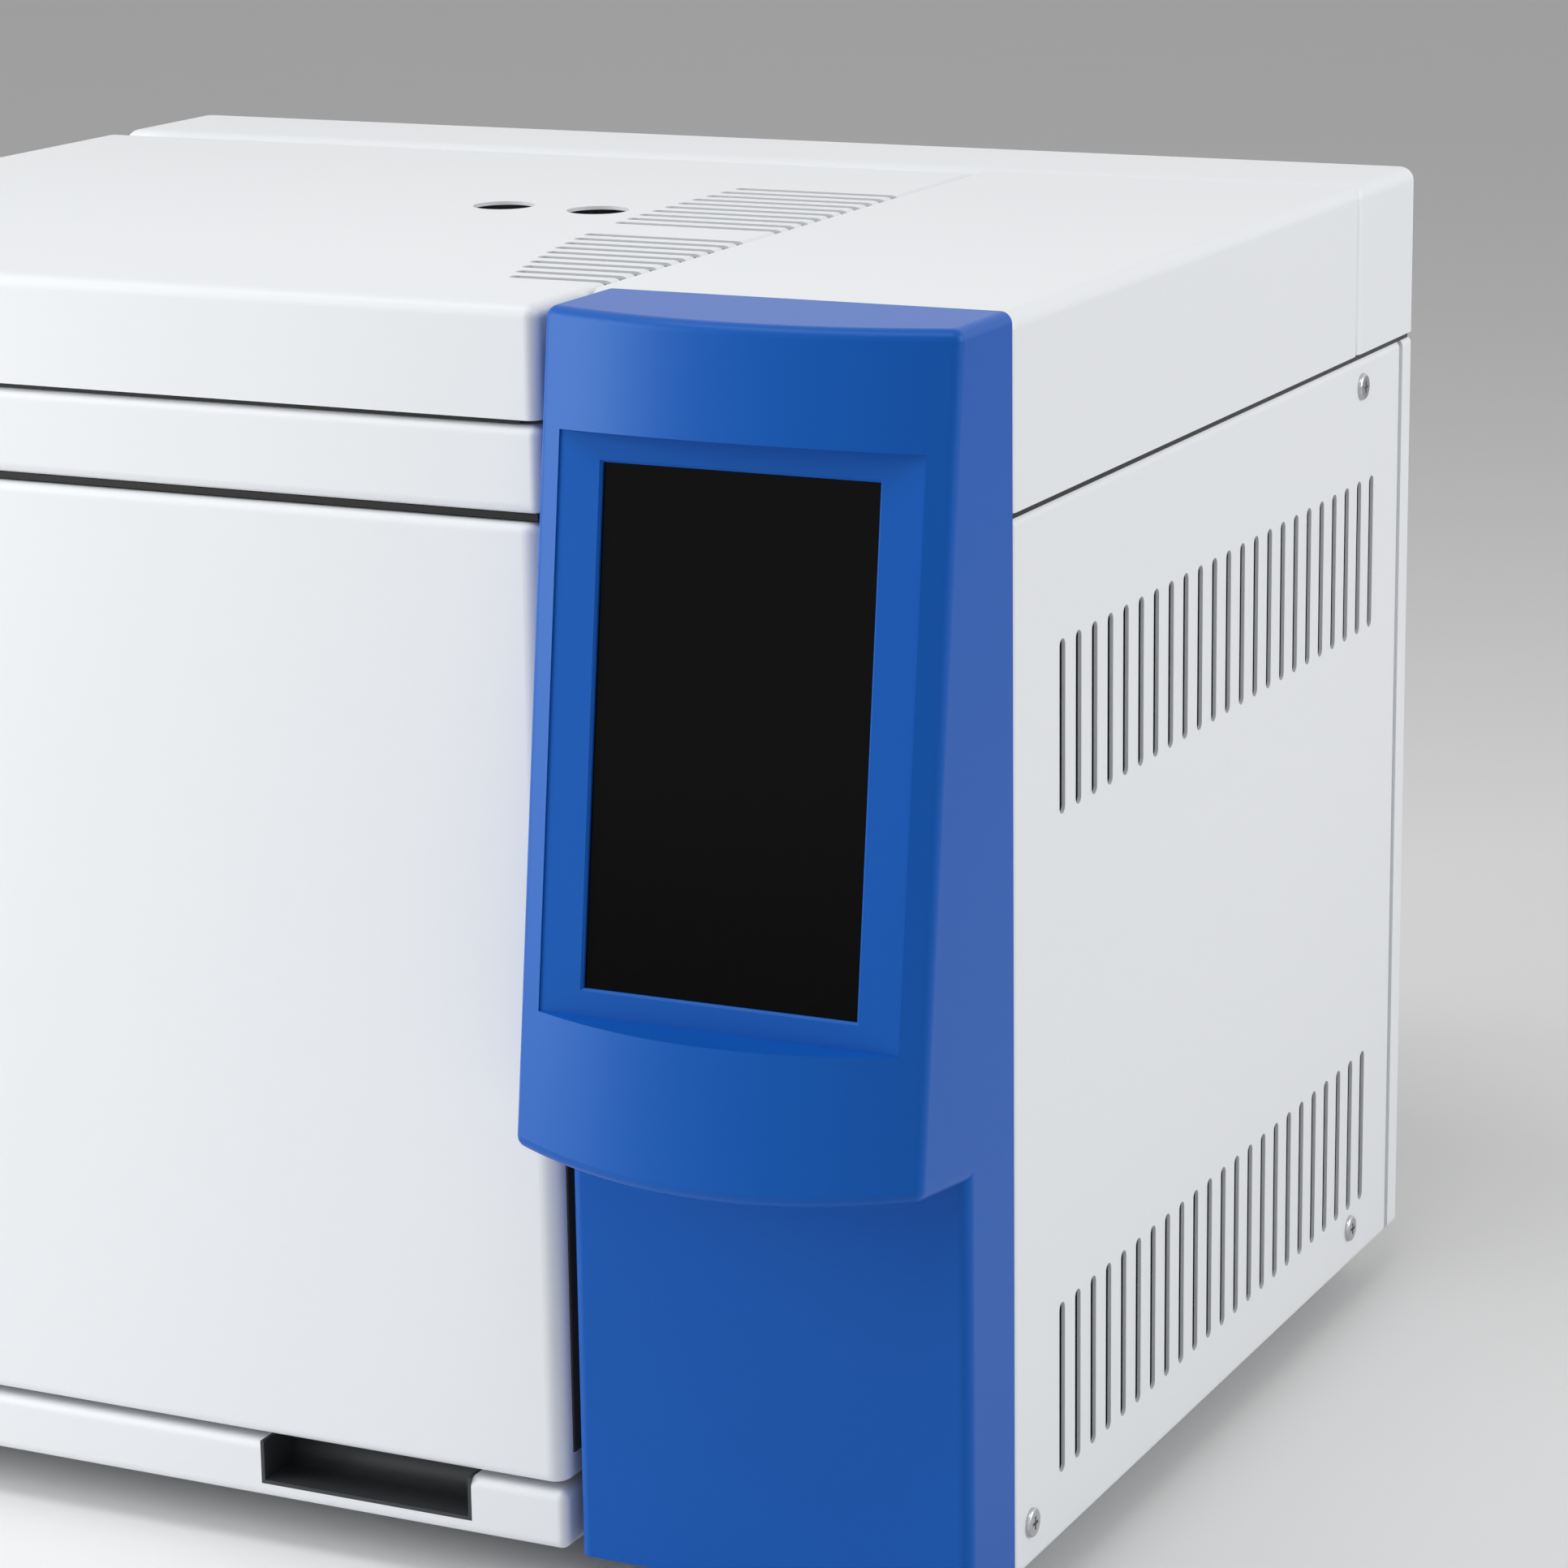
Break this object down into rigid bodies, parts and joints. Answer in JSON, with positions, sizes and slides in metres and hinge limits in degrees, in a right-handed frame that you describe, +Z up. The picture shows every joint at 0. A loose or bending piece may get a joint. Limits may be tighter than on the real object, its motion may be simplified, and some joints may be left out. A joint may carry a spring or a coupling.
{
  "type": "gas chromatograph",
  "caption": "Benchtop gas chromatograph: white cabinet with hinged oven door and lid over a fan oven, and a blue bulging front column with a tall sunken display.",
  "frame": {"origin": "on the bench, at the middle of the footprint's bounding box", "axes": "+X to the right of someone facing the oven door, -Y towards that person, +Z up"},
  "size_m": [0.6236, 0.5718, 0.51],
  "materials": {
    "blue_plastic": "moulded blue plastic with a fine grain and a soft sheen",
    "display_glass": "gloss black cover glass, opaque",
    "display_metal": "pressed zinc-plated steel",
    "circuit_board": "green circuit board",
    "white_paint": "cool white powder coat, fine texture, satin",
    "zinc_steel": "zinc-plated sheet steel",
    "bright_steel": "bright steel, turned or plated",
    "stainless": "stainless sheet, slightly warm from heat",
    "foot_rubber": "matt black rubber",
    "bronze": "oil-filled bronze",
    "fibre": "white ceramic-fibre felt",
    "seal_rope": "woven glass-fibre rope",
    "magnet_black": "black plastic housing of a magnetic catch",
    "pull_plastic": "dark grey moulded plastic",
    "motor_paint": "black enamelled motor can",
    "heater_sheath": "heat-darkened nickel-alloy sheath",
    "fused_silica": "amber polyimide coating of a silica capillary",
    "aluminium": "machined aluminium",
    "flap_steel": "plain steel flap",
    "fan_black": "black fan moulding",
    "inlet_black": "black moulded mains inlet with tin-plated pins",
    "rocker_black": "black moulded rocker",
    "fitting_steel": "turned stainless fitting",
    "valve_steel": "plated solenoid valve body",
    "line_steel": "drawn stainless tube"
  },
  "bodies": {
    "cabinet": {"column_moulding": "blue_plastic", "display_glass": "display_glass", "display_module": "display_metal", "display_board": "circuit_board", "right_side_panel": "white_paint", "left_side_panel": "white_paint", "panel_screws": "bright_steel", "left_rail": "white_paint", "right_top_cover": "white_paint", "rear_top_cover": "white_paint", "front_strip": "white_paint", "plinth": "white_paint", "base_pan": "zinc_steel", "feet": "foot_rubber", "rear_hinge_leaves": "zinc_steel", "hinge_pins": "bright_steel", "door_magnets": "magnet_black", "door_pull": "pull_plastic", "oven_liner": "stainless", "oven_insulation": "fibre", "oven_front_frame": "zinc_steel", "oven_back_plate": "zinc_steel", "oven_rails": "zinc_steel", "top_deck": "zinc_steel", "bay_frame": "zinc_steel", "fan_baffle": "stainless", "oven_motor": "motor_paint", "oven_heater": "heater_sheath", "capillary": "fused_silica", "coil_cage": "bright_steel", "coil_hanger": "stainless", "column_nuts": "fitting_steel", "injectors": "fitting_steel", "septum_nuts": "aluminium", "detector": "fitting_steel", "detector_cap": "aluminium", "rear_panel": "white_paint", "vent_ducts": "stainless", "bay_fan_frame": "fan_black", "power_inlet": "inlet_black", "gas_inlets": "fitting_steel", "gas_manifold": "aluminium", "gas_valves": "valve_steel", "gas_lines": "line_steel", "main_board": "circuit_board", "power_supply": "zinc_steel"},
    "oven_door": {"door_shell": "white_paint", "door_bushes": "bronze", "door_inner_panel": "stainless", "door_insulation": "fibre", "door_seal": "seal_rope", "door_strikes": "zinc_steel"},
    "top_lid": {"lid_shell": "white_paint", "lid_hinge_leaves": "zinc_steel"},
    "oven_fan": {"fan_impeller": "aluminium", "fan_shaft": "bright_steel"},
    "bay_fan": {"bay_fan_rotor": "fan_black"},
    "exhaust_vent": {"exhaust_flap": "flap_steel"},
    "intake_vent": {"intake_flap": "flap_steel"},
    "power_switch": {"power_rocker": "rocker_black"}
  },
  "joints": [
    {"name": "oven_door_hinge", "type": "hinge", "parent": "cabinet", "child": "oven_door", "pos_m": [-0.3, -0.20683, 0.23845], "axis": [0, 0, -1], "range_deg": [0, 110]},
    {"name": "top_lid_hinge", "type": "hinge", "parent": "cabinet", "child": "top_lid", "pos_m": [-0.08535, 0.18577, 0.502], "axis": [-1, 0, 0], "range_deg": [0, 70]},
    {"name": "oven_fan_spin", "type": "hinge", "parent": "cabinet", "child": "oven_fan", "pos_m": [-0.08535, 0.03817, 0.2315], "axis": [0, 1, 0], "continuous": true},
    {"name": "bay_fan_spin", "type": "hinge", "parent": "cabinet", "child": "bay_fan", "pos_m": [0.225, 0.23867, 0.33], "axis": [0, 1, 0], "continuous": true},
    {"name": "exhaust_flap_swing", "type": "hinge", "parent": "cabinet", "child": "exhaust_vent", "pos_m": [0.022, 0.25617, 0.3578], "axis": [1, 0, 0], "range_deg": [0, 75]},
    {"name": "intake_flap_swing", "type": "hinge", "parent": "cabinet", "child": "intake_vent", "pos_m": [-0.192, 0.25617, 0.1618], "axis": [1, 0, 0], "range_deg": [0, 75]},
    {"name": "power_rocker_tilt", "type": "hinge", "parent": "cabinet", "child": "power_switch", "pos_m": [0.262, 0.26017, 0.094], "axis": [1, 0, 0], "range_deg": [0, 18]}
  ],
  "couplings": [
    {"joint": "intake_flap_swing", "follows": "exhaust_flap_swing", "ratio": 1}
  ]
}
